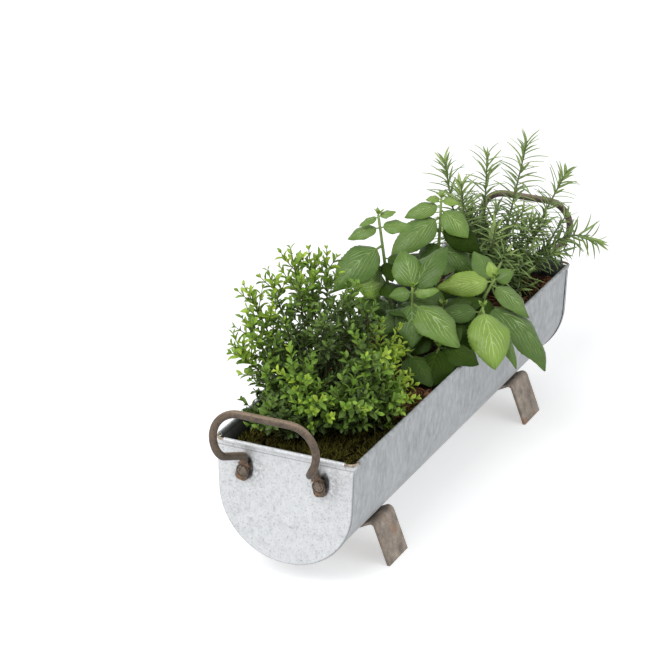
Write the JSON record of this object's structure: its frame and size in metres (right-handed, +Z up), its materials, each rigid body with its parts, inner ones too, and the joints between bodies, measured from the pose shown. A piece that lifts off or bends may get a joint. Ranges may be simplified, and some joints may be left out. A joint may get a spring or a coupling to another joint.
{
  "type": "indoor herb planter",
  "caption": "Half-round galvanised trough on riveted strap legs, with bent rod handles, a wired rim and herbs whose root plugs lift out of sockets in the growing medium.",
  "frame": {"origin": "on the table, under the middle of the trough", "axes": "+X along the trough to its far end, +Y to its back long side, +Z up"},
  "size_m": [0.614, 0.1862, 0.2857],
  "materials": {
    "galvanised_sheet": "weathered galvanised sheet, dull spangle",
    "handle_steel": "brown rusted steel rod",
    "strap_steel": "grey-brown rusted flat bar",
    "rivet_steel": "rusted steel rivets",
    "potting_medium": "moist potting compost",
    "moss": "cushion moss",
    "coir": "loose coconut fibre",
    "thyme_leaf": "small matt leaves, yellow-green tips",
    "basil_leaf": "glossy puckered leaves with pale veins",
    "rosemary_leaf": "leathery grey-green needles"
  },
  "bodies": {
    "trough": {"coir_mat": "coir", "end_plate_far": "galvanised_sheet", "end_plate_near": "galvanised_sheet", "growing_medium": "potting_medium", "handle_far": "handle_steel", "handle_near": "handle_steel", "handle_rivets_far": "rivet_steel", "handle_rivets_near": "rivet_steel", "leg_rivets_far": "rivet_steel", "leg_rivets_near": "rivet_steel", "leg_strap_far": "strap_steel", "leg_strap_near": "strap_steel", "moss_mat": "moss", "rim_wire": "galvanised_sheet", "trough_shell": "galvanised_sheet"},
    "thyme": {"thyme_root_plug": "potting_medium", "thyme_sprig_01": "thyme_leaf", "thyme_sprig_02": "thyme_leaf", "thyme_sprig_03": "thyme_leaf", "thyme_sprig_04": "thyme_leaf", "thyme_sprig_05": "thyme_leaf", "thyme_sprig_06": "thyme_leaf", "thyme_sprig_07": "thyme_leaf", "thyme_sprig_08": "thyme_leaf", "thyme_sprig_09": "thyme_leaf", "thyme_sprig_10": "thyme_leaf", "thyme_sprig_11": "thyme_leaf", "thyme_sprig_12": "thyme_leaf", "thyme_sprig_13": "thyme_leaf", "thyme_sprig_14": "thyme_leaf", "thyme_sprig_15": "thyme_leaf", "thyme_sprig_16": "thyme_leaf", "thyme_sprig_17": "thyme_leaf", "thyme_sprig_18": "thyme_leaf"},
    "basil": {"basil_root_plug": "potting_medium", "basil_stem_a": "basil_leaf", "basil_stem_b": "basil_leaf", "basil_stem_c": "basil_leaf", "basil_stem_d": "basil_leaf", "basil_stem_e": "basil_leaf", "basil_stem_f": "basil_leaf", "basil_stem_g": "basil_leaf", "basil_stem_h": "basil_leaf"},
    "rosemary": {"rosemary_root_plug": "potting_medium", "rosemary_sprig_01": "rosemary_leaf", "rosemary_sprig_02": "rosemary_leaf", "rosemary_sprig_03": "rosemary_leaf", "rosemary_sprig_04": "rosemary_leaf", "rosemary_sprig_05": "rosemary_leaf", "rosemary_sprig_06": "rosemary_leaf", "rosemary_sprig_07": "rosemary_leaf", "rosemary_sprig_08": "rosemary_leaf", "rosemary_sprig_09": "rosemary_leaf", "rosemary_sprig_10": "rosemary_leaf", "rosemary_sprig_11": "rosemary_leaf"}
  },
  "joints": [
    {"name": "thyme_lift", "type": "slide", "parent": "trough", "child": "thyme", "axis": [0, 0, 1], "range_m": [0, 0.16]},
    {"name": "basil_lift", "type": "slide", "parent": "trough", "child": "basil", "axis": [0, 0, 1], "range_m": [0, 0.16]},
    {"name": "rosemary_lift", "type": "slide", "parent": "trough", "child": "rosemary", "axis": [0, 0, 1], "range_m": [0, 0.16]}
  ]
}
